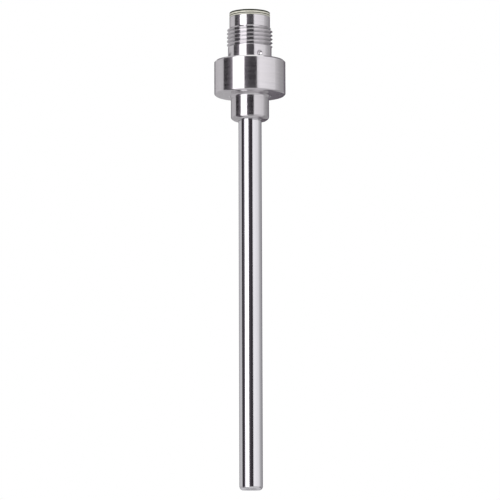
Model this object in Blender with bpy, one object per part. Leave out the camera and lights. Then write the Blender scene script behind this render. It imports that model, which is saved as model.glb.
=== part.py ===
"""Temperature probe with a four-pin plug connector, modelled in metres.

A platinum resistance element sits in the closed tip of a thin steel rod. Four leads run up the rod, through
the turned neck and collar, to the contacts of a round threaded plug connector.
The origin is on the rod's axis at the neck's lower face, where the insertion length starts. +Z points
along the axis to the plug, and the contacts stand at 45 degrees to X and Y.
"""

import math

import bmesh
import bpy
from mathutils import Vector

# Rod: a thin tube, closed at the tip by a welded plug.
ROD_DIAMETER = 0.0060
ROD_WALL = 0.0005
INSERTION_LENGTH = 0.0954
TIP_ROUNDING = 0.0010
TIP_PLUG_THICKNESS = 0.0020

# Head: the neck and the collar, turned in one piece.
NECK_DIAMETER = 0.0099
NECK_LENGTH = 0.0066
NECK_EDGE_ROUNDING = 0.0011
NECK_FACE_SHARE = 0.3  # of the neck's end face that stays flat, at least
NECK_BLEND = 0.00075
COLLAR_DIAMETER = 0.0185
COLLAR_HEIGHT = 0.0091
COLLAR_LOWER_ROUNDING = 0.0006
COLLAR_UPPER_CHAMFER = 0.0004
ROD_GRIP = 0.0075  # height of the bore that holds the rod
ROD_STAND_UP = 0.0005  # rod above that bore, in the wiring chamber
SLEEVE_SEAT_DEPTH = 0.0050

# Connector sleeve: a turned tube with a metric fine thread.
THREAD_DIAMETER = 0.01185
THREAD_PITCH = 0.0010
THREAD_LENGTH = 0.00515
THREAD_START = math.radians(314)  # turns the thread's start about the axis
THREAD_RUN_OUT = 0.00025
THREAD_LEAD = math.radians(50)  # slope of the chamfer at its upper end
THREAD_RELIEF = 0.00004  # the guide's step below the thread's root
GUIDE_LENGTH = 0.0028
SLEEVE_WALL = 0.00065  # at the guide
BASE_STEP = 0.00025  # the base's step below the thread's crest
BASE_HEIGHT = 0.0035
DIMPLE_DIAMETER = 0.0016
DIMPLE_FLOOR_DIAMETER = 0.0008
DIMPLE_DEPTH = 0.00024
DIMPLE_HEIGHT = 0.00125  # of its centre, above the collar
DIMPLE_COUNT = 4
DIMPLE_START = math.radians(27)

# Contact carrier: a moulded insert with a liner and a rim over the sleeve's end.
RIM_HEIGHT = 0.00135
RIM_ROUNDING = 0.00020
RIM_GROOVE_WIDTH = 0.0002
RIM_GROOVE_DEPTH = 0.00012
RIM_GROOVE_HEIGHT = 0.00045  # of its centre, above the sleeve's end
LINER_WALL = 0.00035
RECEPTACLE_DEPTH = 0.0085
CARRIER_THICKNESS = 0.0045
KEY_WIDTH = 0.0011
KEY_DEPTH = 0.0007
KEY_SETBACK = 0.0010  # from the rim's top to the key's end
SEAL_SECTION = 0.0007
SEAL_HEIGHT = 0.0023  # of its centre, above the carrier's back
SEAL_SIDES = 8

# Contacts: turned pins with a solder cup at the back.
CONTACT_COUNT = 4
CONTACT_CIRCLE = 0.0050
CONTACT_START = math.radians(45)
PIN_DIAMETER = 0.0010
PIN_LENGTH = 0.0073  # above the carrier's face
PIN_END_ROUNDING = 0.0004
PIN_FLANGE_RIM = 0.00025
PIN_FLANGE_THICKNESS = 0.0006
CUP_LENGTH = 0.0025
CUP_DEPTH = 0.0020
CUP_WALL = 0.00015

# Wiring.
WIRE_DIAMETER = 0.0008
WIRE_STRAIGHT = 0.0002  # straight length before and after the spread
SHRINK_WALL = 0.0002
SHRINK_OVERHANG = 0.0008  # past the cup's mouth
POTTING_HEIGHT = 0.0022
INSULATION_WALL = 0.00025

# Sensing element and its joints.
CHIP_WIDTH = 0.0020
CHIP_THICKNESS = 0.0010
CHIP_LENGTH = 0.0050
GLAZE_HEIGHT = 0.0008
ELEMENT_LEAD_DIAMETER = 0.00025
ELEMENT_LEAD_LENGTH = 0.0040  # between the chip and the ferrule
FERRULE_LENGTH = 0.0030
FERRULE_WALL = 0.00012
FERRULE_GRIP = 0.0010  # depth of the bores that hold the wires and the lead
COMPOUND_COVER = 0.0009  # heat compound under and above the chip

# Clearances between pieces.
FIT = 0.00005  # round fits, a side
SEAT = 0.00005  # faces that seat on each other
OVERLAP = 0.0002  # how far cutters and joined shapes reach past a surface

# Fineness.
LARGE_SEGMENTS = 48
ROD_SEGMENTS = 40
SMALL_SEGMENTS = 16
WIRE_BEVEL_SEGMENTS = 2
ROUND_STEPS = 4
SPREAD_STEPS = 8
SMOOTH_BELOW = math.radians(35)
MERGE = 1e-7

# Radii.
ROD_R = ROD_DIAMETER / 2
BORE_R = ROD_R - ROD_WALL
NECK_R = NECK_DIAMETER / 2
COLLAR_R = COLLAR_DIAMETER / 2
CREST_R = THREAD_DIAMETER / 2
THREAD_DEPTH = 0.6134 * THREAD_PITCH  # a metric thread's depth
ROOT_R = CREST_R - THREAD_DEPTH
GUIDE_R = ROOT_R - THREAD_RELIEF
BASE_R = CREST_R - BASE_STEP
SLEEVE_BORE_R = GUIDE_R - SLEEVE_WALL
CARRIER_R = SLEEVE_BORE_R - FIT
LINER_R = CARRIER_R - LINER_WALL
PIN_R = PIN_DIAMETER / 2
FLANGE_R = PIN_R + PIN_FLANGE_RIM
WIRE_R = WIRE_DIAMETER / 2
CUP_BORE_R = WIRE_R + FIT
CUP_R = CUP_BORE_R + CUP_WALL
SHRINK_BORE_R = CUP_R + FIT
SHRINK_R = SHRINK_BORE_R + SHRINK_WALL
SEAL_R = SEAL_SECTION / 2
SEAL_CENTRE_R = SLEEVE_BORE_R - FIT - SEAL_R
INSULATION_R = BORE_R - FIT
FERRULE_R = WIRE_R + FIT + FERRULE_WALL
ELEMENT_LEAD_R = ELEMENT_LEAD_DIAMETER / 2

# Heights.
TIP = -INSERTION_LENGTH
COLLAR_UNDERSIDE = NECK_LENGTH
COLLAR_TOP = COLLAR_UNDERSIDE + COLLAR_HEIGHT
SLEEVE_SEAT = COLLAR_TOP - SLEEVE_SEAT_DEPTH
CHAMBER_FLOOR = ROD_GRIP
ROD_TOP = ROD_GRIP + ROD_STAND_UP
BASE_TOP = COLLAR_TOP + BASE_HEIGHT
THREAD_TOP = BASE_TOP + THREAD_LENGTH
SLEEVE_TOP = THREAD_TOP + GUIDE_LENGTH
RIM_TOP = SLEEVE_TOP + RIM_HEIGHT
CARRIER_FACE = RIM_TOP - RECEPTACLE_DEPTH
CARRIER_BACK = CARRIER_FACE - CARRIER_THICKNESS
CUP_MOUTH = CARRIER_BACK - CUP_LENGTH
WIRE_TOP = CUP_MOUTH + CUP_DEPTH - SEAT
SHRINK_BOTTOM = CUP_MOUTH - SHRINK_OVERHANG
POTTING_TOP = CHAMBER_FLOOR + POTTING_HEIGHT
PLUG_TOP = TIP + TIP_PLUG_THICKNESS
CHIP_BOTTOM = PLUG_TOP + SEAT + COMPOUND_COVER + SEAT
CHIP_TOP = CHIP_BOTTOM + CHIP_LENGTH
COMPOUND_TOP = CHIP_TOP + SEAT + GLAZE_HEIGHT + COMPOUND_COVER
FERRULE_BOTTOM = CHIP_TOP + ELEMENT_LEAD_LENGTH
FERRULE_TOP = FERRULE_BOTTOM + FERRULE_LENGTH

# Where the wires lie in the rod, two to a ferrule.
PAIR_X = FERRULE_R + FIT
PAIR_Y = WIRE_R + FIT + FERRULE_WALL / 2

METALS = {
    "rod_steel": ((0.66, 0.65, 0.66, 1), 0.12),
    "turned_steel": ((0.62, 0.60, 0.61, 1), 0.18),
    "gold": ((0.90, 0.68, 0.32, 1), 0.20),
    "tinned_copper": ((0.72, 0.66, 0.60, 1), 0.30),
    "platinum": ((0.70, 0.69, 0.67, 1), 0.25),
}
PLASTICS = {
    "amber_plastic": ((0.62, 0.55, 0.36, 1), 0.25),
    "black_rubber": ((0.02, 0.02, 0.02, 1), 0.60),
    "white_ptfe": ((0.85, 0.85, 0.83, 1), 0.45),
    "red_ptfe": ((0.60, 0.05, 0.04, 1), 0.45),
    "black_shrink": ((0.03, 0.03, 0.03, 1), 0.50),
    "grey_potting": ((0.25, 0.26, 0.27, 1), 0.55),
    "heat_compound": ((0.80, 0.80, 0.78, 1), 0.75),
    "alumina": ((0.88, 0.87, 0.84, 1), 0.50),
    "glass_glaze": ((0.20, 0.38, 0.30, 1), 0.15),
    "glass_fibre": ((0.78, 0.74, 0.62, 1), 0.80),
}


def clear_scene():
    for obj in list(bpy.data.objects):
        bpy.data.objects.remove(obj)


def material(name):
    """The named material, made on its first use."""
    made = bpy.data.materials.get(name)
    if made:
        return made
    metallic = name in METALS
    colour, roughness = METALS[name] if metallic else PLASTICS[name]
    made = bpy.data.materials.new(name)
    made.use_nodes = True
    shader = made.node_tree.nodes["Principled BSDF"]
    shader.inputs["Base Color"].default_value = colour
    shader.inputs["Roughness"].default_value = roughness
    shader.inputs["Metallic"].default_value = float(metallic)
    return made


def add_object(name, data, finish=None):
    obj = bpy.data.objects.new(name, data)
    if finish:
        data.materials.append(material(finish))
    bpy.context.scene.collection.objects.link(obj)
    return obj


def add_mesh(name, bm, finish=None):
    """Turns bm into an object, welded, with its faces out and its round surfaces smooth."""
    bmesh.ops.remove_doubles(bm, verts=bm.verts, dist=MERGE)
    bmesh.ops.dissolve_degenerate(bm, edges=bm.edges, dist=MERGE)
    bmesh.ops.recalc_face_normals(bm, faces=bm.faces)
    mesh = bpy.data.meshes.new(name)
    bm.to_mesh(mesh)
    bm.free()
    mesh.shade_smooth()
    mesh.set_sharp_from_angle(angle=SMOOTH_BELOW)
    return add_object(name, mesh, finish)


def rounded(corners):
    """The outline through (radius, height, rounding) corners, with an arc at each corner that has a rounding."""
    points = []
    for index, (radius, height, rounding) in enumerate(corners):
        corner = Vector((radius, height))
        if not rounding:
            points.append(corner)
            continue
        before = (Vector(corners[index - 1][:2]) - corner).normalized()
        after = (Vector(corners[(index + 1) % len(corners)][:2]) - corner).normalized()
        half_angle = before.angle(after) / 2
        centre = corner + (before + after).normalized() * rounding / math.sin(half_angle)
        start = corner + before * rounding / math.tan(half_angle) - centre
        end = corner + after * rounding / math.tan(half_angle) - centre
        for step in range(ROUND_STEPS + 1):
            points.append(centre + start.slerp(end, step / ROUND_STEPS) * rounding)
    return points


def spin_outline(bm, outline, segments, centre=(0, 0)):
    """Adds a turned shape about a vertical axis. An outline that doesn't start and end on the axis is a loop."""
    verts = [bm.verts.new((centre[0] + radius, centre[1], height)) for radius, height in outline]
    edges = [bm.edges.new(pair) for pair in zip(verts, verts[1:])]
    if outline[0][0] > 0:
        edges.append(bm.edges.new((verts[-1], verts[0])))
    bmesh.ops.spin(
        bm,
        geom=verts + edges,
        cent=(*centre, 0),
        axis=(0, 0, 1),
        angle=math.tau,
        steps=segments,
        use_merge=True,
    )


def turned(name, outline, segments, finish=None, centre=(0, 0)):
    bm = bmesh.new()
    spin_outline(bm, outline, segments, centre)
    return add_mesh(name, bm, finish)


def rod_outline(radius, bottom, top):
    """A plain round bar's outline, for cutters and fillings."""
    return [(0, bottom), (radius, bottom), (radius, top), (0, top)]


def block(name, low, high, finish=None):
    """A block between two opposite corners."""
    bm = bmesh.new()
    bmesh.ops.create_cube(bm, size=1)
    middle = (Vector(low) + Vector(high)) / 2
    bmesh.ops.scale(bm, vec=Vector(high) - Vector(low), verts=bm.verts)
    bmesh.ops.translate(bm, vec=middle, verts=bm.verts)
    return add_mesh(name, bm, finish)


def combine(obj, other, operation):
    """Cuts or joins other, which then is only a guide."""
    modifier = obj.modifiers.new(other.name, "BOOLEAN")
    modifier.operation = operation
    modifier.object = other
    other.hide_render = True
    other.display_type = "WIRE"


def around(count, start, radius):
    """Places on a circle about the axis."""
    turns = [start + math.tau * index / count for index in range(count)]
    return [(radius * math.cos(turn), radius * math.sin(turn)) for turn in turns]


def tip_arc(outer, inner):
    """The rod's rounded lower edge between two radii, from the outer one inwards."""
    centre_r = ROD_R - TIP_ROUNDING
    first, last = (
        math.asin(min(max((radius - centre_r) / TIP_ROUNDING, 0), 1)) for radius in (outer, inner)
    )
    angles = [first + (last - first) * step / ROUND_STEPS for step in range(ROUND_STEPS + 1)]
    return [
        (centre_r + TIP_ROUNDING * math.sin(angle), TIP + TIP_ROUNDING * (1 - math.cos(angle)))
        for angle in angles
    ]


def make_rod():
    edge = tip_arc(ROD_R, BORE_R)
    if edge[-1][0] > BORE_R + MERGE:
        edge.append((BORE_R, TIP))
    turned("probe_tube", [(ROD_R, ROD_TOP), *edge, (BORE_R, ROD_TOP)], ROD_SEGMENTS, "rod_steel")


def make_tip_plug():
    plug_r = BORE_R - FIT
    edge = tip_arc(plug_r, ROD_R - TIP_ROUNDING)
    outline = [(0, PLUG_TOP), (plug_r, PLUG_TOP), *edge, (0, TIP)]
    turned("tip_plug", outline, ROD_SEGMENTS, "rod_steel")


def make_head():
    """Neck and collar, with the bores for the rod, the wiring chamber and the sleeve."""
    rod_bore_r = ROD_R + FIT
    edge_rounding = min(NECK_EDGE_ROUNDING, (1 - NECK_FACE_SHARE) * (NECK_R - rod_bore_r))
    seat_r = BASE_R + FIT
    outline = rounded(
        [
            (rod_bore_r, 0, 0),
            (NECK_R, 0, edge_rounding),
            (NECK_R, COLLAR_UNDERSIDE, NECK_BLEND),
            (COLLAR_R, COLLAR_UNDERSIDE, COLLAR_LOWER_ROUNDING),
            (COLLAR_R, COLLAR_TOP - COLLAR_UPPER_CHAMFER, 0),
            (COLLAR_R - COLLAR_UPPER_CHAMFER, COLLAR_TOP, 0),
            (seat_r, COLLAR_TOP, 0),
            (seat_r, SLEEVE_SEAT, 0),
            (SLEEVE_BORE_R, SLEEVE_SEAT, 0),
            (SLEEVE_BORE_R, CHAMBER_FLOOR, 0),
            (rod_bore_r, CHAMBER_FLOOR, 0),
        ]
    )
    turned("collar_and_neck", outline, LARGE_SEGMENTS, "turned_steel")


def thread_form():
    """One pitch of the thread as (share of the pitch, radius), from the start of a crest."""
    crest = 1 / 8
    flank = THREAD_DEPTH * math.tan(math.radians(30)) / THREAD_PITCH
    return ((0, CREST_R), (crest, CREST_R), (crest + flank, ROOT_R), (1 - flank, ROOT_R))


def thread_radius(radius, height):
    """The radius of a thread point, held between the run-out below and the chamfers at both ends."""
    run_out = BASE_R - (BASE_R - ROOT_R) * (height - BASE_TOP) / THREAD_RUN_OUT
    lead = GUIDE_R + (THREAD_TOP - height) * math.tan(THREAD_LEAD)
    chamfers = min(BASE_R + (height - BASE_TOP), lead)
    return min(max(radius, run_out), chamfers)


def make_sleeve():
    """The sleeve as columns of points round the axis. The thread's rows climb one pitch in a turn."""
    rows = [
        (turn + share, radius)
        for turn in range(-1, math.ceil(THREAD_LENGTH / THREAD_PITCH) + 1)
        for share, radius in thread_form()
    ]
    plain = [
        (GUIDE_R, SLEEVE_TOP),
        (SLEEVE_BORE_R, SLEEVE_TOP),
        (SLEEVE_BORE_R, SLEEVE_SEAT + SEAT),
        (BASE_R, SLEEVE_SEAT + SEAT),
    ]
    bm = bmesh.new()
    columns = []
    for index in range(LARGE_SEGMENTS + 1):
        share_of_turn = index / LARGE_SEGMENTS
        outline = []
        for turn, radius in rows:
            height = BASE_TOP + (turn + share_of_turn) * THREAD_PITCH
            height = min(max(height, BASE_TOP), THREAD_TOP)
            outline.append((thread_radius(radius, height), height))
        angle = THREAD_START + math.tau * share_of_turn
        columns.append(
            [
                bm.verts.new((radius * math.cos(angle), radius * math.sin(angle), height))
                for radius, height in outline + plain
            ]
        )
    for near, far in zip(columns, columns[1:]):
        for row in range(len(near)):
            bm.faces.new((near[row - 1], far[row - 1], far[row], near[row]))
    sleeve = add_mesh("connector_sleeve", bm, "turned_steel")
    combine(sleeve, make_dimple_cutter(), "DIFFERENCE")


def make_dimple_cutter():
    """Cones with flat ends that point at the axis, round the sleeve's base."""
    reach = OVERLAP
    slope = (DIMPLE_DIAMETER - DIMPLE_FLOOR_DIAMETER) / 2 / DIMPLE_DEPTH
    bm = bmesh.new()
    height = COLLAR_TOP + DIMPLE_HEIGHT
    for x, y in around(DIMPLE_COUNT, DIMPLE_START, BASE_R - DIMPLE_DEPTH):
        inwards = Vector((-x, -y, 0)).normalized()
        cone = bmesh.ops.create_cone(
            bm,
            cap_ends=True,
            segments=SMALL_SEGMENTS,
            radius1=DIMPLE_FLOOR_DIAMETER / 2 + (DIMPLE_DEPTH + reach) * slope,
            radius2=DIMPLE_FLOOR_DIAMETER / 2,
            depth=DIMPLE_DEPTH + reach,
        )
        turn = Vector((0, 0, 1)).rotation_difference(inwards).to_matrix()
        bmesh.ops.rotate(bm, verts=cone["verts"], matrix=turn)
        middle = Vector((x, y, height)) - inwards * (DIMPLE_DEPTH + reach) / 2
        bmesh.ops.translate(bm, verts=cone["verts"], vec=middle)
    return add_mesh("dimple_cutter", bm)


def make_carrier():
    """Insert with a groove for the seal, stepped bores for the contacts, a liner, a rim and a key."""
    groove_r = SEAL_CENTRE_R - SEAL_R - FIT
    groove_half = SEAL_R + FIT
    groove = CARRIER_BACK + SEAL_HEIGHT
    rim_groove = SLEEVE_TOP + RIM_GROOVE_HEIGHT
    outline = rounded(
        [
            (0, CARRIER_BACK, 0),
            (CARRIER_R, CARRIER_BACK, 0),
            (CARRIER_R, groove - groove_half, 0),
            (groove_r, groove - groove_half, 0),
            (groove_r, groove + groove_half, 0),
            (CARRIER_R, groove + groove_half, 0),
            (CARRIER_R, SLEEVE_TOP + SEAT, 0),
            (GUIDE_R, SLEEVE_TOP + SEAT, 0),
            (GUIDE_R, rim_groove - RIM_GROOVE_WIDTH / 2, 0),
            (GUIDE_R - RIM_GROOVE_DEPTH, rim_groove, 0),
            (GUIDE_R, rim_groove + RIM_GROOVE_WIDTH / 2, 0),
            (GUIDE_R, RIM_TOP, RIM_ROUNDING),
            (LINER_R, RIM_TOP, 0),
            (LINER_R, CARRIER_FACE, 0),
            (0, CARRIER_FACE, 0),
        ]
    )
    carrier = turned("contact_carrier", outline, LARGE_SEGMENTS, "amber_plastic")
    key = block(
        "key_shape",
        (-KEY_WIDTH / 2, LINER_R - KEY_DEPTH, CARRIER_FACE - OVERLAP),
        (KEY_WIDTH / 2, LINER_R + LINER_WALL / 2, RIM_TOP - KEY_SETBACK),
    )
    combine(carrier, key, "UNION")
    bores = bmesh.new()
    flange_top = CARRIER_BACK + PIN_FLANGE_THICKNESS
    step = [
        (0, CARRIER_BACK - OVERLAP),
        (FLANGE_R + FIT, CARRIER_BACK - OVERLAP),
        (FLANGE_R + FIT, flange_top + SEAT),
        (PIN_R + FIT, flange_top + SEAT),
        (PIN_R + FIT, CARRIER_FACE + OVERLAP),
        (0, CARRIER_FACE + OVERLAP),
    ]
    for place in around(CONTACT_COUNT, CONTACT_START, CONTACT_CIRCLE / 2):
        spin_outline(bores, step, SMALL_SEGMENTS, place)
    combine(carrier, add_mesh("contact_bores_cutter", bores), "DIFFERENCE")


def make_contacts():
    """Pins with a round end, a flange that seats in the carrier and a hollow solder cup."""
    outline = rounded(
        [
            (0, CUP_MOUTH + CUP_DEPTH, 0),
            (CUP_BORE_R, CUP_MOUTH + CUP_DEPTH, 0),
            (CUP_BORE_R, CUP_MOUTH, 0),
            (CUP_R, CUP_MOUTH, 0),
            (CUP_R, CARRIER_BACK, 0),
            (FLANGE_R, CARRIER_BACK, 0),
            (FLANGE_R, CARRIER_BACK + PIN_FLANGE_THICKNESS, 0),
            (PIN_R, CARRIER_BACK + PIN_FLANGE_THICKNESS, 0),
            (PIN_R, CARRIER_FACE + PIN_LENGTH, PIN_END_ROUNDING),
            (0, CARRIER_FACE + PIN_LENGTH, 0),
        ]
    )
    places = around(CONTACT_COUNT, CONTACT_START, CONTACT_CIRCLE / 2)
    for number, place in enumerate(places, 1):
        turned(f"contact_pin_{number}", outline, SMALL_SEGMENTS, "gold", place)


def make_seal():
    height = CARRIER_BACK + SEAL_HEIGHT
    turns = [math.tau * (side + 0.5) / SEAL_SIDES for side in range(SEAL_SIDES)]
    section = [
        (SEAL_CENTRE_R + SEAL_R * math.cos(turn), height + SEAL_R * math.sin(turn)) for turn in turns
    ]
    turned("carrier_seal", section, LARGE_SEGMENTS, "black_rubber")


def wire_places():
    """(x, y in the rod, x, y at the contact) of each lead wire."""
    contacts = around(CONTACT_COUNT, CONTACT_START, CONTACT_CIRCLE / 2)
    return [
        (math.copysign(PAIR_X, x), math.copysign(PAIR_Y, y), x, y) for x, y in contacts
    ]


def wire_route(rod_x, rod_y, end_x, end_y):
    """Straight up the rod, spread in a smooth S above the potting, and straight into the cup."""
    low = POTTING_TOP + WIRE_STRAIGHT
    high = SHRINK_BOTTOM - WIRE_STRAIGHT
    route = [(rod_x, rod_y, FERRULE_TOP - FERRULE_GRIP + SEAT)]
    for step in range(SPREAD_STEPS + 1):
        share = step / SPREAD_STEPS
        sway = (1 - math.cos(math.pi * share)) / 2
        route.append(
            (
                rod_x + (end_x - rod_x) * sway,
                rod_y + (end_y - rod_y) * sway,
                low + (high - low) * share,
            )
        )
    route.append((end_x, end_y, WIRE_TOP))
    return route


def make_wire(name, route, radius, finish):
    curve = bpy.data.curves.new(name, "CURVE")
    curve.dimensions = "3D"
    curve.bevel_depth = radius
    curve.bevel_resolution = WIRE_BEVEL_SEGMENTS
    curve.use_fill_caps = True
    spline = curve.splines.new("POLY")
    spline.points.add(len(route) - 1)
    for point, place in zip(spline.points, route):
        point.co = (*place, 1)
    add_object(name, curve, finish)


def make_wires():
    """Two red and two white leads. Each pair of one colour ends in one ferrule."""
    for number, places in enumerate(wire_places(), 1):
        finish = "red_ptfe" if places[0] > 0 else "white_ptfe"
        make_wire(f"lead_wire_{number}", wire_route(*places), WIRE_R, finish)


def make_shrink_sleeves():
    outline = [
        (SHRINK_BORE_R, SHRINK_BOTTOM),
        (SHRINK_R, SHRINK_BOTTOM),
        (SHRINK_R, CARRIER_BACK - SEAT),
        (SHRINK_BORE_R, CARRIER_BACK - SEAT),
    ]
    places = around(CONTACT_COUNT, CONTACT_START, CONTACT_CIRCLE / 2)
    for number, place in enumerate(places, 1):
        turned(f"shrink_sleeve_{number}", outline, SMALL_SEGMENTS, "black_shrink", place)


def make_potting():
    """Sealing resin on the chamber's floor, round the rod's end and the wires."""
    recess_r = ROD_R + FIT
    outline = [
        (0, ROD_TOP + SEAT),
        (recess_r, ROD_TOP + SEAT),
        (recess_r, CHAMBER_FLOOR + SEAT),
        (SLEEVE_BORE_R - FIT, CHAMBER_FLOOR + SEAT),
        (SLEEVE_BORE_R - FIT, POTTING_TOP),
        (0, POTTING_TOP),
    ]
    potting = turned("potting", outline, LARGE_SEGMENTS, "grey_potting")
    holes = bmesh.new()
    hole = rod_outline(WIRE_R + FIT, CHAMBER_FLOOR, POTTING_TOP + OVERLAP)
    for rod_x, rod_y, _, _ in wire_places():
        spin_outline(holes, hole, SMALL_SEGMENTS, (rod_x, rod_y))
    combine(potting, add_mesh("potting_holes_cutter", holes), "DIFFERENCE")


def make_insulation():
    """Woven sleeve that keeps the wires off the rod's wall."""
    bottom = COMPOUND_TOP + SEAT
    inner_r = INSULATION_R - INSULATION_WALL
    outline = [(inner_r, bottom), (INSULATION_R, bottom), (INSULATION_R, ROD_TOP), (inner_r, ROD_TOP)]
    turned("insulating_sleeve", outline, ROD_SEGMENTS, "glass_fibre")


def make_element():
    """The resistance chip, the glass bead over its joints and its two leads."""
    half_w, half_t = CHIP_WIDTH / 2, CHIP_THICKNESS / 2
    block("sensing_chip", (-half_w, -half_t, CHIP_BOTTOM), (half_w, half_t, CHIP_TOP), "alumina")
    glaze_bottom = CHIP_TOP + SEAT
    glaze_top = glaze_bottom + GLAZE_HEIGHT
    glaze = block(
        "chip_glaze", (-half_w, -half_t, glaze_bottom), (half_w, half_t, glaze_top), "glass_glaze"
    )
    holes = bmesh.new()
    hole = rod_outline(ELEMENT_LEAD_R + FIT, glaze_bottom - OVERLAP, glaze_top + OVERLAP)
    lead = rod_outline(ELEMENT_LEAD_R, glaze_bottom, FERRULE_BOTTOM + FERRULE_GRIP - SEAT)
    for side, x in (("right", PAIR_X), ("left", -PAIR_X)):
        spin_outline(holes, hole, SMALL_SEGMENTS // 2, (x, 0))
        turned(f"chip_lead_{side}", lead, SMALL_SEGMENTS // 2, "platinum", (x, 0))
    combine(glaze, add_mesh("glaze_holes_cutter", holes), "DIFFERENCE")


def make_ferrule(name, x):
    """Oval ferrule with two bores for wires above and one for the chip's lead below."""
    bm = bmesh.new()
    ends = []
    for centre_y, first in ((PAIR_Y, 0), (-PAIR_Y, math.pi)):
        for step in range(ROUND_STEPS * 2 + 1):
            turn = first + math.pi * step / (ROUND_STEPS * 2)
            ends.append((x + FERRULE_R * math.cos(turn), centre_y + FERRULE_R * math.sin(turn)))
    face = bm.faces.new([bm.verts.new((*end, FERRULE_BOTTOM)) for end in ends])
    made = bmesh.ops.extrude_face_region(bm, geom=[face])
    raised = [item for item in made["geom"] if isinstance(item, bmesh.types.BMVert)]
    bmesh.ops.translate(bm, verts=raised, vec=(0, 0, FERRULE_LENGTH))
    ferrule = add_mesh(name, bm, "tinned_copper")
    holes = bmesh.new()
    wire_hole = rod_outline(WIRE_R + FIT, FERRULE_TOP - FERRULE_GRIP, FERRULE_TOP + OVERLAP)
    lead_hole = rod_outline(
        ELEMENT_LEAD_R + FIT, FERRULE_BOTTOM - OVERLAP, FERRULE_BOTTOM + FERRULE_GRIP
    )
    for y in (PAIR_Y, -PAIR_Y):
        spin_outline(holes, wire_hole, SMALL_SEGMENTS, (x, y))
    spin_outline(holes, lead_hole, SMALL_SEGMENTS // 2, (x, 0))
    combine(ferrule, add_mesh(f"{name}_cutter", holes), "DIFFERENCE")


def make_compound():
    """Heat-conducting filling round the chip, open above where its leads come out."""
    bottom = PLUG_TOP + SEAT
    compound = turned(
        "heat_compound", rod_outline(BORE_R - FIT, bottom, COMPOUND_TOP), ROD_SEGMENTS, "heat_compound"
    )
    half_w = CHIP_WIDTH / 2 + FIT
    half_t = CHIP_THICKNESS / 2 + FIT
    pocket = block(
        "chip_pocket_cutter",
        (-half_w, -half_t, CHIP_BOTTOM - SEAT),
        (half_w, half_t, COMPOUND_TOP + OVERLAP),
    )
    combine(compound, pocket, "DIFFERENCE")


def main():
    clear_scene()
    make_rod()
    make_tip_plug()
    make_head()
    make_sleeve()
    make_carrier()
    make_contacts()
    make_seal()
    make_wires()
    make_shrink_sleeves()
    make_potting()
    make_insulation()
    make_element()
    make_ferrule("ferrule_right", PAIR_X)
    make_ferrule("ferrule_left", -PAIR_X)
    make_compound()


main()
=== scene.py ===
"""Studio look of the temperature probe: finely turned visible pieces, procedural steels and
plastics, a white room with cards and lamps round the probe, and a long lens a little below it."""

import math

import bmesh
import bpy
from mathutils import Euler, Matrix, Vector


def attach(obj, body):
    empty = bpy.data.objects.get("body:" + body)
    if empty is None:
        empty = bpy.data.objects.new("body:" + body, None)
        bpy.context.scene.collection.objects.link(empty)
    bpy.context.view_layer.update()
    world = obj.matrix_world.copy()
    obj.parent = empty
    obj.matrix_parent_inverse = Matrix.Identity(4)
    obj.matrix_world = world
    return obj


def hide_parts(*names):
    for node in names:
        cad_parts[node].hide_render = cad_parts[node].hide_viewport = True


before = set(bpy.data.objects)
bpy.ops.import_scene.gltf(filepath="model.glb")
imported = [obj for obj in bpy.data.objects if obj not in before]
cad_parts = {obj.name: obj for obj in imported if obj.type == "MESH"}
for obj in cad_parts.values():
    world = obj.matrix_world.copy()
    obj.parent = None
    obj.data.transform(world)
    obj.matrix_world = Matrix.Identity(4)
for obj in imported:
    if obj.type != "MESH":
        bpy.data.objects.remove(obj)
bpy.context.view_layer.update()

MM = 0.001

# Sizes of the model in metres: the part's own, with finer roundings and a deeper front dimple.
ROD_R = 3.0 * MM
TIP = -95.4 * MM
TIP_ROUNDING = 1.0 * MM
NECK_R = 4.95 * MM
NECK_EDGE_ROUNDING = 1.1 * MM
NECK_BLEND = 0.75 * MM
ROD_BORE_R = 3.05 * MM
CHAMBER_FLOOR = 7.5 * MM
COLLAR_R = 9.25 * MM
COLLAR_UNDERSIDE = 6.6 * MM
COLLAR_TOP = 15.7 * MM
COLLAR_LOWER_ROUNDING = 0.6 * MM
COLLAR_UPPER_CHAMFER = 0.4 * MM
EDGE_BREAK = 0.06 * MM
SEAT_R = 5.725 * MM
SLEEVE_SEAT = 10.7 * MM
SLEEVE_FOOT = SLEEVE_SEAT + 0.05 * MM
SLEEVE_BORE_R = 4.6216 * MM
SLEEVE_BORE_ROUNDING = 0.05 * MM
THREAD_PITCH = 1.0 * MM
THREAD_START = math.radians(314)
THREAD_RUN_OUT = 0.25 * MM
THREAD_LEAD = math.radians(50)
THREAD_DEPTH = 0.6134 * THREAD_PITCH
FLANK_ANGLE = math.radians(30)
CREST_R = 5.925 * MM
ROOT_R = CREST_R - THREAD_DEPTH
GUIDE_R = ROOT_R - 0.04 * MM
BASE_R = 5.675 * MM
BASE_TOP = 19.2 * MM
THREAD_TOP = 24.35 * MM
RELIEF_TOP = THREAD_TOP + 0.2 * MM
GUIDE_ROUNDING = 0.08 * MM
SLEEVE_TOP = 27.15 * MM
RIM_FOOT = SLEEVE_TOP + 0.05 * MM
RIM_FOOT_ROUNDING = 0.06 * MM
RIM_TOP = 28.5 * MM
RIM_ROUNDING = 0.20 * MM
RIM_LINE = 0.42 * MM
RIM_GROOVE_WIDTH = 0.20 * MM
RIM_GROOVE_DEPTH = 0.12 * MM
RIM_GROOVE = SLEEVE_TOP + 0.45 * MM
CARRIER_R = SLEEVE_BORE_R - 0.05 * MM
LINER_R = CARRIER_R - 0.35 * MM
LINER_ROUNDING = 0.1 * MM
CARRIER_FACE = 20.1 * MM
CARRIER_BACK = 15.6 * MM
KEY_WIDTH = 1.1 * MM
KEY_DEPTH = 0.7 * MM
KEY_TOP = 27.6 * MM
KEY_ROUNDING = 0.1 * MM
KEY_ROOT = 0.15 * MM
KEY_FOOT = 0.1 * MM
CONTACT_R = 2.5 * MM
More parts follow.
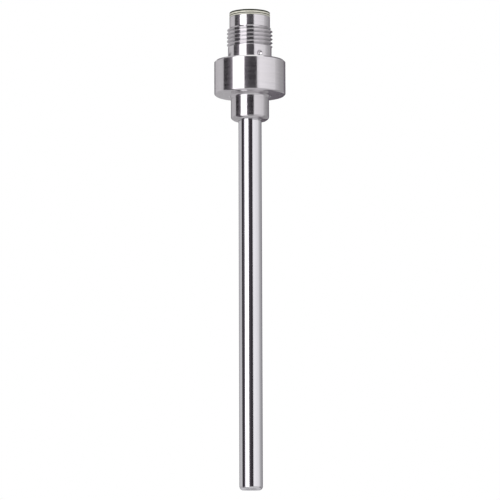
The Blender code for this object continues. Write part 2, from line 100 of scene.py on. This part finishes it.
PIN_COUNT = 4
PIN_R = 0.5 * MM
PIN_FOOT = CARRIER_FACE - 0.5 * MM
PIN_TOP = 27.4 * MM
PIN_ROUNDING = 0.8 * PIN_R
DIMPLE_COUNT = 4
DIMPLE_START = math.radians(-63)
DIMPLE_R = 0.8 * MM
DIMPLE_Z = COLLAR_TOP + 1.25 * MM

# Radius of the flat end and depth.
FRONT_DIMPLE = (0.25 * MM, 0.53 * MM)
OTHER_DIMPLES = (0.40 * MM, 0.24 * MM)

# Camera, fitted to the photograph's outline.
CAMERA_PLACE = (-0.00011, -0.6682, -0.1126)
CAMERA_PITCH = math.radians(6.735)
CAMERA_ROLL = math.radians(-0.177)
CAMERA_LENS = 188.0
CAMERA_SENSOR = 36
CLIP_NEAR = 0.01
CLIP_FAR = 50

# Studio, in metres.
FLOOR_Z = -0.1365
FLOOR_HALF = 4.0
TABLE_Z = FLOOR_Z + 0.004
TABLE_FOOT = 0.005
TABLE_RIM = 2.3
WALL_R = 2.4
CARD_TOP = 5.0

# Strength of the soft light that only falls on things.
ROOM_LIGHT = 0.75

# Cards darker than DARK_TONE take the first tint and the others the second.
DARK_TONE = 0.25
DARK_TINT = (1.02, 0.90, 1.06)
PALE_TINT = (1.0, 0.975, 1.01)

# Finishes of the steel, with painted shade in the thread's root and on the neck, and the painted
# shade of the rim's lines.
TURNED_TONE = (0.745, 0.73, 0.74)
PALER_RINGS = 1.07
STREAKS = 0.06
ROOT_SHADE = (0.54, 0.535, 0.54)
ROOT_SHARE = 0.4
THREAD_POLISH = 0.8
NECK_SHADE = 0.12
WELD_ROUGHNESS = 0.40
PAINTED_GROOVE_SHADE = (0.07, 0.06, 0.045)
PAINTED_EDGE_SHADE = (0.03, 0.03, 0.02)

# Fineness of the meshes.
CARD_STEP = math.radians(3)
ROUND_STEPS = 10
GUARD = 0.03 * MM
MERGE = 1e-8
SLEEVE_MERGE = 1e-7
SHARP = math.radians(40)


# Shader helpers


class Shader:
    """A material's node tree, with short ways to add and join nodes."""

    def __init__(self, name):
        self.material = bpy.data.materials.new(name)
        self.material.use_nodes = True
        self.tree = self.material.node_tree
        self.surface = self.tree.nodes["Principled BSDF"]
        self.coordinates = self.tree.nodes.new("ShaderNodeTexCoord")

    def add(self, kind, **values):
        node = self.tree.nodes.new(kind)
        for key, value in values.items():
            setattr(node, key, value)
        return node

    def join(self, source, target):
        self.tree.links.new(source, target)

    def set(self, **values):
        for key, value in values.items():
            self.surface.inputs[key.replace("_", " ")].default_value = value

    def math(self, operation, *values):
        node = self.add("ShaderNodeMath", operation=operation)
        for socket, value in zip(node.inputs, values):
            if isinstance(value, (int, float)):
                socket.default_value = value
            else:
                self.join(value, socket)
        return node.outputs[0]

    def noise(self, scale, stretch=(1, 1, 1), detail=3.0, roughness=0.5, seed=0.0):
        """Noise over the object's own millimetres. A small number stretches it along its axis."""
        mapping = self.add("ShaderNodeMapping")
        self.join(self.coordinates.outputs["Object"], mapping.inputs["Vector"])
        mapping.inputs["Scale"].default_value = [share / MM for share in stretch]
        mapping.inputs["Location"].default_value = (seed, seed * 1.7, seed * 0.6)
        node = self.add("ShaderNodeTexNoise")
        node.inputs["Scale"].default_value = scale
        node.inputs["Detail"].default_value = detail
        node.inputs["Roughness"].default_value = roughness
        self.join(mapping.outputs[0], node.inputs["Vector"])
        return node.outputs["Fac"]

    def height(self):
        split = self.add("ShaderNodeSeparateXYZ")
        self.join(self.coordinates.outputs["Object"], split.inputs[0])
        return split.outputs["Z"]

    def radius(self):
        """Distance from the object's own upright axis."""
        flat = self.add("ShaderNodeVectorMath", operation="MULTIPLY")
        self.join(self.coordinates.outputs["Object"], flat.inputs[0])
        flat.inputs[1].default_value = (1, 1, 0)
        length = self.add("ShaderNodeVectorMath", operation="LENGTH")
        self.join(flat.outputs["Vector"], length.inputs[0])
        return length.outputs["Value"]

    def between(self, low, high):
        """1 between two heights of the object's own, 0 elsewhere."""
        height = self.height()
        above = self.math("GREATER_THAN", height, low)
        return self.math("MULTIPLY", above, self.math("LESS_THAN", height, high))

    def spread(self, value, low, high, from_low=0.3, from_high=0.7):
        """A value carried over to low and high, by default from the middle part of a noise."""
        node = self.add("ShaderNodeMapRange")
        self.join(value, node.inputs["Value"])
        for key, number in (
            ("From Min", from_low),
            ("From Max", from_high),
            ("To Min", low),
            ("To Max", high),
        ):
            node.inputs[key].default_value = number
        return node.outputs[0]

    def blend(self, share, first, second):
        node = self.add("ShaderNodeMix", data_type="RGBA")
        self.join(share, node.inputs["Factor"])
        for socket, value in ((node.inputs["A"], first), (node.inputs["B"], second)):
            if isinstance(value, tuple):
                socket.default_value = (*value, 1)
            else:
                self.join(value, socket)
        return node.outputs["Result"]

    def colour(self, value):
        self.join(value, self.surface.inputs["Base Color"])

    def roughness(self, value):
        self.join(value, self.surface.inputs["Roughness"])

    def bump(self, height, distance, strength=1.0):
        node = self.add("ShaderNodeBump")
        node.inputs["Strength"].default_value = strength
        node.inputs["Distance"].default_value = distance
        self.join(height, node.inputs["Height"])
        before = self.surface.inputs["Normal"]
        if before.is_linked:
            self.join(before.links[0].from_socket, node.inputs["Normal"])
        self.join(node.outputs[0], before)


def polished_rod_steel():
    """Drawn and polished tube: faint streaks along it, a slight waviness and a satin weld."""
    shader = Shader("polished_rod_steel")
    shader.set(Metallic=1.0)
    tone = shader.spread(shader.noise(0.6, (1, 1, 0.08), detail=4), 0, 1)
    shader.colour(shader.blend(tone, (0.81, 0.815, 0.83), (0.87, 0.875, 0.89)))
    polish = shader.spread(shader.noise(1.2, (1, 1, 0.05), seed=3), 0.05, 0.10)
    weld = shader.spread(shader.height(), WELD_ROUGHNESS, 0, TIP, TIP + TIP_ROUNDING)
    shader.roughness(shader.math("ADD", polish, weld))
    waves = shader.noise(0.35, (1, 1, 0.25), detail=2, seed=5)
    shader.bump(waves, distance=0.006 * MM, strength=0.5)
    streaks = shader.noise(4.0, (1, 1, 0.03), detail=2, seed=9)
    shader.bump(streaks, distance=0.0006 * MM, strength=0.6)
    return shader.material


def turned_steel(name, lines=1.0, metallic=1.0, thread=None, neck=None):
    """Bright turned steel with fine lines round the axis from the tool's feed.

    Between the two heights of a thread it is smoother, and darker down in the root. Between the
    two heights of a neck it is darker all over.
    """
    shader = Shader(name)
    streaks = shader.noise(1.8, (0.03, 0.03, 1), roughness=0.6, seed=8)
    streaks = shader.spread(streaks, metallic, metallic - STREAKS)
    shader.join(streaks, shader.surface.inputs["Metallic"])
    pale = tuple(value * PALER_RINGS for value in TURNED_TONE)
    rings = shader.noise(5.0, (0.02, 0.02, 1), roughness=0.7)
    tone = shader.blend(shader.spread(rings, 0, 1), TURNED_TONE, pale)
    rough = shader.spread(shader.noise(1.6, (0.02, 0.02, 1), seed=4), 0.06, 0.15)
    if thread:
        cut = shader.between(*thread)
        depth = shader.spread(shader.radius(), 1, 0, ROOT_R, ROOT_R + ROOT_SHARE * THREAD_DEPTH)
        tone = shader.blend(shader.math("MULTIPLY", cut, depth), tone, ROOT_SHADE)
        polish = shader.math("MULTIPLY_ADD", cut, -THREAD_POLISH, 1.0)
        rough = shader.math("MULTIPLY", rough, polish)
    if neck:
        shade = shader.math("MULTIPLY", shader.between(*neck), NECK_SHADE)
        tone = shader.blend(shade, tone, (0, 0, 0))
    shader.colour(tone)
    shader.roughness(rough)
    feed = shader.noise(9.0, (0.01, 0.01, 1), detail=2, roughness=0.6, seed=2)
    shader.bump(feed, distance=0.0012 * MM * lines, strength=0.8)
    waves = shader.noise(0.5, detail=2, seed=6)
    shader.bump(waves, distance=0.004 * MM, strength=0.4)
    return shader.material


def carrier_plastic():
    """Natural engineering plastic, glossy from its mould: warm and mottled, with a dull line of
    painted shade round the rim's upper edge and painted shade in its groove."""
    shader = Shader("carrier_plastic")
    shader.set(Metallic=0.0, Coat_Roughness=0.08, IOR=1.55)
    tone = shader.spread(shader.noise(0.8, detail=4), 0, 1)
    plain = shader.blend(tone, (0.54, 0.53, 0.45), (0.66, 0.65, 0.56))
    # Painted shade: a dark line round the rim's upper edge, without coat or specular.
    edge = shader.between(RIM_TOP - RIM_LINE, RIM_TOP + RIM_LINE)
    # Painted shade: a dark line down in the rim's groove, without coat or specular.
    groove = shader.between(RIM_GROOVE - RIM_GROOVE_WIDTH / 2, RIM_GROOVE + RIM_GROOVE_WIDTH / 2)
    shader.colour(shader.blend(edge, shader.blend(groove, plain, PAINTED_GROOVE_SHADE), PAINTED_EDGE_SHADE))
    shade_lines = shader.math("MAXIMUM", edge, groove)
    for socket, level in (("Coat Weight", 0.4), ("Specular IOR Level", 0.5)):
        plain_only = shader.math("MULTIPLY_ADD", shade_lines, -level, level)
        shader.join(plain_only, shader.surface.inputs[socket])
    shader.roughness(shader.spread(shader.noise(2.0, detail=2, seed=1), 0.15, 0.3))
    shader.bump(shader.noise(3.0, detail=2, seed=8), distance=0.004 * MM, strength=0.4)
    return shader.material


def gold():
    shader = Shader("contact_gold")
    shader.set(Metallic=1.0)
    tone = shader.spread(shader.noise(2.0, (1, 1, 0.3)), 0, 1)
    shader.colour(shader.blend(tone, (0.86, 0.62, 0.26), (0.94, 0.74, 0.38)))
    shader.roughness(shader.spread(shader.noise(3.0, detail=2, seed=2), 0.12, 0.25))
    lines = shader.noise(8.0, (0.05, 0.05, 1), detail=2, seed=7)
    shader.bump(lines, distance=0.001 * MM, strength=0.6)
    return shader.material


def dull(name, dark, pale, rough=(0.4, 0.6), scale=1.5, grain=0.01 * MM, metallic=0.0):
    """An inner piece's material: mottled colour, uneven roughness and a light grain."""
    shader = Shader(name)
    shader.set(Metallic=metallic)
    tone = shader.spread(shader.noise(scale, detail=4), 0, 1)
    shader.colour(shader.blend(tone, dark, pale))
    shader.roughness(shader.spread(shader.noise(scale * 2, detail=2, seed=3), *rough))
    shader.bump(shader.noise(scale * 4, detail=2, seed=5), distance=grain, strength=0.5)
    return shader.material


# Shape helpers


def rounded(corners):
    """The outline through (radius, height, rounding) corners, with an arc where one is rounded.

    A guard point just outside each end of an arc keeps the shading of the straight stretches even.
    """
    points = []
    for index, (radius, height, rounding) in enumerate(corners):
        corner = Vector((radius, height))
        if not rounding:
            points.append(corner)
            continue
        before = (Vector(corners[index - 1][:2]) - corner).normalized()
        after = (Vector(corners[(index + 1) % len(corners)][:2]) - corner).normalized()
        half_angle = before.angle(after) / 2
        centre = corner + (before + after).normalized() * rounding / math.sin(half_angle)
        start = corner + before * rounding / math.tan(half_angle) - centre
        end = corner + after * rounding / math.tan(half_angle) - centre
        guard = min(GUARD, rounding / 10)
        points.append(centre + start + before * guard)
        for step in range(ROUND_STEPS + 1):
            points.append(centre + start.slerp(end, step / ROUND_STEPS) * rounding)
        points.append(centre + end + after * guard)
    return points


def filled_steps(points, longest):
    """Adds points so that no step of the outline is longer than this."""
    steps = []
    for start, end in zip(points, points[1:]):
        count = max(1, math.ceil((Vector(end) - Vector(start)).length / longest))
        steps += [Vector(start).lerp(Vector(end), index / count) for index in range(count)]
    return steps + [Vector(points[-1])]


def finish_mesh(name, bm, material):
    """The mesh as an object with its material, on the part's one body."""
    bmesh.ops.remove_doubles(bm, verts=bm.verts, dist=MERGE)
    bmesh.ops.recalc_face_normals(bm, faces=bm.faces)
    mesh = bpy.data.meshes.new(name)
    bm.to_mesh(mesh)
    bm.free()
    mesh.materials.append(material)
    mesh.shade_smooth()
    mesh.set_sharp_from_angle(angle=SHARP)
    piece = bpy.data.objects.new(name, mesh)
    bpy.context.scene.collection.objects.link(piece)
    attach(piece, "root")
    return piece


def lathe(name, outline, material, segments, centre=(0, 0)):
    """A turned piece. An outline that starts off the axis is a closed loop."""
    closed = outline[0][0] > 0
    bm = bmesh.new()
    columns = []
    for index in range(segments):
        turn = math.tau * index / segments
        column = []
        for radius, height in outline:
            x = centre[0] + radius * math.cos(turn)
            y = centre[1] + radius * math.sin(turn)
            column.append(bm.verts.new((x, y, height)))
        columns.append(column)
    rows = range(0 if closed else 1, len(outline))
    for index in range(segments):
        near, far = columns[index], columns[(index + 1) % segments]
        for row in rows:
            bm.faces.new((near[row - 1], far[row - 1], far[row], near[row]))
    bmesh.ops.remove_doubles(bm, verts=bm.verts, dist=MERGE)
    bmesh.ops.dissolve_degenerate(bm, edges=bm.edges, dist=MERGE)
    return finish_mesh(name, bm, material)


# Steel pieces


def make_rod(material):
    """The whole rod up into the neck, with its welded tip polished flush."""
    outline = rounded(
        [
            (0, TIP, 0),
            (ROD_R, TIP, TIP_ROUNDING),
            (ROD_R, CHAMBER_FLOOR, 0),
            (0, CHAMBER_FLOOR, 0),
        ]
    )
    outline = filled_steps(outline, longest=6 * MM)
    rod = lathe("rod", outline, material, segments=96)
    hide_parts("probe_tube", "tip_plug")


def make_collar(material):
    outline = rounded(
        [
            (ROD_BORE_R, 0, 0),
            (NECK_R, 0, NECK_EDGE_ROUNDING),
            (NECK_R, COLLAR_UNDERSIDE, NECK_BLEND),
            (COLLAR_R, COLLAR_UNDERSIDE, COLLAR_LOWER_ROUNDING),
            (COLLAR_R, COLLAR_TOP - COLLAR_UPPER_CHAMFER, EDGE_BREAK),
            (COLLAR_R - COLLAR_UPPER_CHAMFER, COLLAR_TOP, EDGE_BREAK),
            (SEAT_R, COLLAR_TOP, 0),
            (SEAT_R, SLEEVE_SEAT, 0),
            (SLEEVE_BORE_R, SLEEVE_SEAT, 0),
            (SLEEVE_BORE_R, CHAMBER_FLOOR, 0),
            (ROD_BORE_R, CHAMBER_FLOOR, 0),
        ]
    )
    collar = lathe("collar", outline, material, segments=192)
    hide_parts("collar_and_neck")


def thread_form():
    """One pitch as (share of the pitch, radius), with the crest's and the root's corners eased."""
    crest = 1 / 8
    flank = THREAD_DEPTH * math.tan(FLANK_ANGLE) / THREAD_PITCH
    ease = 0.06
    on_flank = ease * 0.4
    on_flat = ease * 0.6
    drop = ease * THREAD_PITCH / math.tan(FLANK_ANGLE) / 2
    low = ROOT_R + drop
    high = CREST_R - drop
    middle = (CREST_R + ROOT_R) / 2
    return (
        (-on_flank, high),
        (on_flat, CREST_R),
        (crest / 2, CREST_R),
        (crest - on_flat, CREST_R),
        (crest + on_flank, high),
        (crest + flank / 2, middle),
        (crest + flank - on_flank, low),
        (crest + flank + on_flat, ROOT_R),
        (1 - flank - on_flat, ROOT_R),
        (1 - flank + on_flank, low),
        (1 - flank / 2, middle),
    )


def thread_radius(radius, height):
    """The thread's radius at this height, held in by the run-out below and the chamfers."""
    run_out = BASE_R - (BASE_R - ROOT_R) * (height - BASE_TOP) / THREAD_RUN_OUT
    lead = GUIDE_R + (THREAD_TOP - height) * math.tan(THREAD_LEAD)
    chamfers = min(BASE_R + (height - BASE_TOP), lead)
    return min(max(radius, run_out), chamfers)


def dimple_sink(angle, height):
    """How deep the nearest dimple goes at this place on the base: a sloping wall round a flat end.

    The first one faces the camera. The photograph shows it deeper than the one at the left edge.
    """
    sink = 0.0
    for index in range(DIMPLE_COUNT):
        centre = DIMPLE_START + math.tau * index / DIMPLE_COUNT
        floor_radius, depth = OTHER_DIMPLES if index else FRONT_DIMPLE
        across = math.remainder(angle - centre, math.tau) * BASE_R
        away = math.hypot(across, height - DIMPLE_Z)
        share = (DIMPLE_R - away) / (DIMPLE_R - floor_radius)
        sink = max(sink, depth * min(share, 1))
    return sink


def make_sleeve(material):
    """The sleeve as columns of points round the axis. The thread climbs one pitch in a turn."""
    segments = 360
    rows = 49
    turns = math.ceil((THREAD_TOP - BASE_TOP) / THREAD_PITCH)
    thread = [
        (turn + share, radius) for turn in range(-1, turns + 1) for share, radius in thread_form()
    ]
    base_rows = [SLEEVE_FOOT]
    base_rows += [COLLAR_TOP + (BASE_TOP - COLLAR_TOP) * row / rows for row in range(rows)]
    above = rounded(
        [
            (GUIDE_R, RELIEF_TOP, 0),
            (GUIDE_R, SLEEVE_TOP, GUIDE_ROUNDING),
            (SLEEVE_BORE_R, SLEEVE_TOP, SLEEVE_BORE_ROUNDING),
            (SLEEVE_BORE_R, SLEEVE_FOOT, 0),
        ]
    )
    bm = bmesh.new()
    columns = []
    for index in range(segments + 1):
        share_of_turn = index / segments
        angle = THREAD_START + math.tau * share_of_turn
        outline = [(BASE_R - dimple_sink(angle, height), height) for height in base_rows]
        for turn, radius in thread:
            height = BASE_TOP + (turn + share_of_turn) * THREAD_PITCH
            height = min(max(height, BASE_TOP), THREAD_TOP)
            outline.append((thread_radius(radius, height), height))
        outline += [tuple(point) for point in above]
        columns.append(
            [
                bm.verts.new((radius * math.cos(angle), radius * math.sin(angle), height))
                for radius, height in outline
            ]
        )
    for near, far in zip(columns, columns[1:]):
        for row in range(len(near)):
            bm.faces.new((near[row - 1], far[row - 1], far[row], near[row]))
    bmesh.ops.remove_doubles(bm, verts=bm.verts, dist=SLEEVE_MERGE)
    bmesh.ops.dissolve_degenerate(bm, edges=bm.edges, dist=SLEEVE_MERGE)
    sleeve = finish_mesh("sleeve", bm, material)
    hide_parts("connector_sleeve")


# Plug insert


def make_insert(material):
    """The moulded insert: body, liner and rim in one lathe, with the key grown out of the liner."""
    outline = rounded(
        [
            (0, CARRIER_BACK, 0),
            (CARRIER_R, CARRIER_BACK, 0),
            (CARRIER_R, RIM_FOOT, 0),
            (GUIDE_R, RIM_FOOT, RIM_FOOT_ROUNDING),
            (GUIDE_R, RIM_GROOVE - RIM_GROOVE_WIDTH / 2, 0),
            (GUIDE_R - RIM_GROOVE_DEPTH, RIM_GROOVE, 0),
            (GUIDE_R, RIM_GROOVE + RIM_GROOVE_WIDTH / 2, 0),
            (GUIDE_R, RIM_TOP, RIM_ROUNDING),
            (LINER_R, RIM_TOP, LINER_ROUNDING),
            (LINER_R, CARRIER_FACE, LINER_ROUNDING),
            (0, CARRIER_FACE, 0),
        ]
    )
    insert = lathe("plug_insert", outline, material, segments=144)
    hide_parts("contact_carrier")
    bm = bmesh.new()
    bmesh.ops.create_cube(bm, size=1)
    extent = (KEY_WIDTH, KEY_DEPTH + KEY_ROOT, KEY_TOP - CARRIER_FACE + KEY_FOOT)
    middle = (0, LINER_R - (KEY_DEPTH - KEY_ROOT) / 2, (KEY_TOP + CARRIER_FACE - KEY_FOOT) / 2)
    bmesh.ops.scale(bm, vec=extent, verts=bm.verts)
    bmesh.ops.translate(bm, vec=middle, verts=bm.verts)
    bmesh.ops.bevel(
        bm, geom=bm.edges[:], offset=KEY_ROUNDING, segments=3, affect="EDGES", profile=0.5
    )
    key = finish_mesh("insert_key", bm, material)


def make_pins(material):
    outline = rounded(
        [
            (0, PIN_FOOT, 0),
            (PIN_R, PIN_FOOT, 0),
            (PIN_R, PIN_TOP, PIN_ROUNDING),
            (0, PIN_TOP, 0),
        ]
    )
    for number in range(PIN_COUNT):
        turn = math.tau * (number + 0.5) / PIN_COUNT
        centre = (CONTACT_R * math.cos(turn), CONTACT_R * math.sin(turn))
        pin = lathe(f"pin_{number + 1}", outline, material, segments=32, centre=centre)
        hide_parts(f"contact_pin_{number + 1}")


def dress_inner_nodes():
    """The pieces inside keep their solids and get their own materials."""
    rubber = dull("seal_rubber", (0.015,) * 3, (0.03,) * 3, (0.45, 0.65))
    resin = dull("grey_resin", (0.20, 0.21, 0.22), (0.30, 0.31, 0.32), (0.3, 0.5))
    woven = dull(
        "glass_fibre", (0.60, 0.55, 0.42), (0.80, 0.76, 0.64), (0.6, 0.9), 4, grain=0.03 * MM
    )
    glaze = dull("glass_glaze", (0.10, 0.25, 0.18), (0.22, 0.42, 0.32), (0.1, 0.2))
    alumina = dull("alumina", (0.80, 0.79, 0.75), (0.90, 0.89, 0.86))
    compound = dull("heat_compound", (0.70, 0.70, 0.67), (0.85, 0.85, 0.82), (0.6, 0.9))
    red = dull("red_insulation", (0.50, 0.04, 0.03), (0.65, 0.06, 0.05))
    white = dull("white_insulation", (0.78, 0.78, 0.75), (0.88, 0.88, 0.86))
    shrink = dull("black_shrink", (0.02,) * 3, (0.045,) * 3)
    tinned = dull(
        "tinned_copper", (0.60, 0.55, 0.50), (0.78, 0.74, 0.70), (0.2, 0.4), metallic=1.0
    )
    platinum = dull("platinum", (0.62, 0.61, 0.59), (0.74, 0.73, 0.71), (0.2, 0.3), metallic=1.0)
    finishes = {
        "carrier_seal": rubber,
        "potting": resin,
        "insulating_sleeve": woven,
        "chip_glaze": glaze,
        "sensing_chip": alumina,
        "heat_compound": compound,
    }
    for number in range(1, 5):
        finishes[f"lead_wire_{number}"] = red if number in (1, 4) else white
        finishes[f"shrink_sleeve_{number}"] = shrink
    for side in ("left", "right"):
        finishes[f"ferrule_{side}"] = tinned
        finishes[f"chip_lead_{side}"] = platinum
    for name, finish in finishes.items():
        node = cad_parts[name]
        for slot in node.material_slots:
            slot.material = finish


# Studio


def emission_material(name, stops):
    """A card that glows by itself, in grey tones at its (share of the width, tone) stops."""
    material = bpy.data.materials.new(name)
    material.use_nodes = True
    tree = material.node_tree
    tree.nodes.clear()
    output = tree.nodes.new("ShaderNodeOutputMaterial")
    glow = tree.nodes.new("ShaderNodeEmission")
    tree.links.new(glow.outputs[0], output.inputs["Surface"])
    ramp = tree.nodes.new("ShaderNodeValToRGB")
    layer = tree.nodes.new("ShaderNodeUVMap")
    split = tree.nodes.new("ShaderNodeSeparateXYZ")
    tree.links.new(layer.outputs[0], split.inputs[0])
    tree.links.new(split.outputs["X"], ramp.inputs["Fac"])
    tree.links.new(ramp.outputs["Color"], glow.inputs["Color"])
    brightest = max(tone for _, tone in stops)
    glow.inputs["Strength"].default_value = brightest
    points = ramp.color_ramp.elements
    while len(points) < len(stops):
        points.new(0.5)
    for point, (share, tone) in zip(points, stops):
        point.position = share
        tint = DARK_TINT if tone < DARK_TONE else PALE_TINT
        point.color = (*(tone / brightest * channel for channel in tint), 1)
    return material


def show_to_gloss(name, vertices, faces, places, stops):
    """A glowing sheet that is seen only in reflections."""
    mesh = bpy.data.meshes.new(name)
    mesh.from_pydata(vertices, [], faces)
    layer = mesh.uv_layers.new(name="UVMap")
    for loop in mesh.loops:
        layer.data[loop.index].uv = places[loop.vertex_index]
    mesh.materials.append(emission_material(name, stops))
    panel = bpy.data.objects.new(name, mesh)
    bpy.context.scene.collection.objects.link(panel)
    panel.visible_camera = False
    panel.visible_diffuse = False
    panel.visible_shadow = False


def card(name, start, end, stops):
    """A curved card round the probe. Degrees count from the camera, positive to its right."""
    segments = max(2, math.ceil(math.radians(end - start) / CARD_STEP))
    vertices, faces, places = [], [], []
    for index in range(segments + 1):
        share = index / segments
        turn = math.radians(start + (end - start) * share - 90)
        for height in (FLOOR_Z, CARD_TOP):
            vertices.append((WALL_R * math.cos(turn), WALL_R * math.sin(turn), height))
            places.append((share, 0))
    for index in range(segments):
        first = 2 * index
        faces.append((first, first + 2, first + 3, first + 1))
    show_to_gloss(name, vertices, faces, places, stops)


def make_cards():
    """Cards all round, read off the bands that the photograph's steel shows."""
    front = [(0, 0.13), (0.25, 0.085), (0.5, 0.037), (0.8, 0.035), (1, 0.06)]
    card("camera_side_flag", -18, 23, front)
    card("left_softbox", -57, -18, [(0, 1.30), (0.1, 1.8), (0.9, 1.8), (1, 1.5)])
    card("left_edge", -66, -57, [(0, 0.13), (0.8, 0.24), (1, 0.45)])
    card("left_flag", -94, -66, [(0, 0.09), (0.12, 0.022), (0.6, 0.04), (1, 0.12)])
    card("left_wall", -150, -94, [(0, 0.50), (0.6, 0.60), (0.9, 0.57), (1, 0.46)])
    card("right_softbox", 23, 90, [(0, 0.80), (0.15, 0.96), (0.6, 0.86), (1, 0.74)])
    card("right_wall", 90, 142, [(0, 0.62), (0.4, 0.42), (1, 0.30)])
    card("right_rear_flag", 142, 172, [(0, 0.22), (0.3, 0.18), (0.6, 0.12), (1, 0.10)])
    card("left_rear_flag", -172, -150, [(0, 0.10), (0.6, 0.12), (1, 0.30)])


def table_patch(name, start, end, stops):
    """A flat sector round the probe's foot, with its (radius in metres, tone) stops."""
    inner, outer = stops[0][0], stops[-1][0]
    segments = max(2, math.ceil(math.radians(end - start) / CARD_STEP))
    vertices, faces, places = [], [], []
    for index in range(segments + 1):
        turn = math.radians(start + (end - start) * index / segments - 90)
        for share, radius in ((0, inner), (1, outer)):
            vertices.append((radius * math.cos(turn), radius * math.sin(turn), TABLE_Z))
            places.append((share, 0))
    for index in range(segments):
        first = 2 * index
        faces.append((first, first + 1, first + 3, first + 2))
    tones = [((radius - inner) / (outer - inner), tone) for radius, tone in stops]
    show_to_gloss(name, vertices, faces, places, tones)


def make_table():
    """What the undersides show: sectors of a table, grey near the probe and further out like the
    cards above them."""
    front = [(TABLE_FOOT, 0.28), (0.015, 0.36), (0.03, 0.62), (0.05, 0.80), (0.085, 0.45)]
    front += [(0.14, 0.38), (0.40, 0.34), (0.60, 0.06), (TABLE_RIM, 0.05)]
    table_patch("table_front", -18, 23, front)
    near = [(TABLE_FOOT, 0.28), (0.015, 0.34), (0.035, 0.62), (0.06, 0.66)]
    sectors = (
        ("glare", -30, -18, [(0.10, 0.40), (0.12, 0.40), (0.15, 1.4), (TABLE_RIM, 1.8)]),
        ("front_left", -60, -30, [(0.10, 0.27), (0.12, 0.25), (0.16, 1.3), (TABLE_RIM, 1.8)]),
        ("left_flag", -94, -60, [(0.09, 0.10), (TABLE_RIM, 0.07)]),
        ("left", -150, -94, [(0.09, 0.48), (TABLE_RIM, 0.50)]),
        ("rear_left", -180.3, -150, [(0.09, 0.45), (TABLE_RIM, 0.42)]),
        ("front_right", 23, 90, [(0.10, 0.41), (0.12, 0.40), (0.17, 0.65), (TABLE_RIM, 0.75)]),
        ("right", 90, 155, [(0.09, 0.17), (0.16, 0.35), (TABLE_RIM, 0.40)]),
        ("rear_right", 155, 179.7, [(0.09, 0.12), (1.6, 0.11), (TABLE_RIM, 0.30)]),
    )
    for name, start, end, far in sectors:
        table_patch(f"table_{name}", start, end, near + far)


def make_floor():
    mesh = bpy.data.meshes.new("floor")
    sides = ((-1, -1), (1, -1), (1, 1), (-1, 1))
    corners = [(FLOOR_HALF * x, FLOOR_HALF * y, FLOOR_Z) for x, y in sides]
    mesh.from_pydata(corners, [], [(0, 1, 2, 3)])
    shader = Shader("pale_floor")
    shader.set(Roughness=0.8)
    tone = shader.spread(shader.noise(0.01), 0, 1)
    shader.colour(shader.blend(tone, (0.80, 0.80, 0.81), (0.84, 0.84, 0.85)))
    mesh.materials.append(shader.material)
    floor = bpy.data.objects.new("floor", mesh)
    bpy.context.scene.collection.objects.link(floor)


def make_world():
    """White to the camera, to gloss and through glass, and a plain soft light on the probe."""
    world = bpy.data.worlds.new("white_room")
    bpy.context.scene.world = world
    world.use_nodes = True
    tree = world.node_tree
    tree.nodes.clear()
    output = tree.nodes.new("ShaderNodeOutputWorld")
    path = tree.nodes.new("ShaderNodeLightPath")
    seen = path.outputs["Is Camera Ray"]
    for ray in ("Is Glossy Ray", "Is Transmission Ray"):
        either = tree.nodes.new("ShaderNodeMath")
        either.operation = "MAXIMUM"
        tree.links.new(seen, either.inputs[0])
        tree.links.new(path.outputs[ray], either.inputs[1])
        seen = either.outputs[0]
    mix = tree.nodes.new("ShaderNodeMixShader")
    tree.links.new(seen, mix.inputs[0])
    for socket, strength in zip(mix.inputs[1:], (ROOM_LIGHT, 1.0)):
        white = tree.nodes.new("ShaderNodeBackground")
        white.inputs["Color"].default_value = (1, 1, 1, 1)
        white.inputs["Strength"].default_value = strength
        tree.links.new(white.outputs[0], socket)
    tree.links.new(mix.outputs[0], output.inputs["Surface"])


def make_lamp(name, place, size, power):
    data = bpy.data.lights.new(name, "AREA")
    data.shape = "RECTANGLE"
    data.size, data.size_y = size
    data.energy = power
    lamp = bpy.data.objects.new(name, data)
    lamp.location = place
    towards_probe = -Vector(place)
    lamp.rotation_euler = towards_probe.to_track_quat("-Z", "Y").to_euler()
    lamp.visible_glossy = False
    bpy.context.scene.collection.objects.link(lamp)


def make_camera():
    data = bpy.data.cameras.new("camera")
    data.sensor_width = CAMERA_SENSOR
    data.lens = CAMERA_LENS
    data.clip_start = CLIP_NEAR
    data.clip_end = CLIP_FAR
    camera = bpy.data.objects.new("camera", data)
    camera.location = CAMERA_PLACE
    pitch = Euler((math.pi / 2 + CAMERA_PITCH, 0, 0)).to_matrix()
    roll = Euler((0, 0, CAMERA_ROLL)).to_matrix()
    camera.rotation_euler = (pitch @ roll).to_euler()
    bpy.context.scene.collection.objects.link(camera)
    bpy.context.scene.camera = camera


def main():
    make_rod(polished_rod_steel())
    neck = (-NECK_BLEND, COLLAR_UNDERSIDE - NECK_BLEND)
    make_collar(turned_steel("collar_steel", neck=neck))
    thread = (BASE_TOP, THREAD_TOP)
    make_sleeve(turned_steel("sleeve_steel", lines=0.7, metallic=0.98, thread=thread))
    make_insert(carrier_plastic())
    make_pins(gold())
    dress_inner_nodes()
    make_floor()
    make_cards()
    make_table()
    make_world()
    make_lamp("key_lamp", (-0.9, -1.0, 0.5), size=(0.6, 0.9), power=6)
    make_lamp("fill_lamp", (1.1, -0.8, 0.5), size=(0.8, 0.9), power=4)
    make_camera()
    bpy.context.scene.view_settings.view_transform = "Standard"


main()
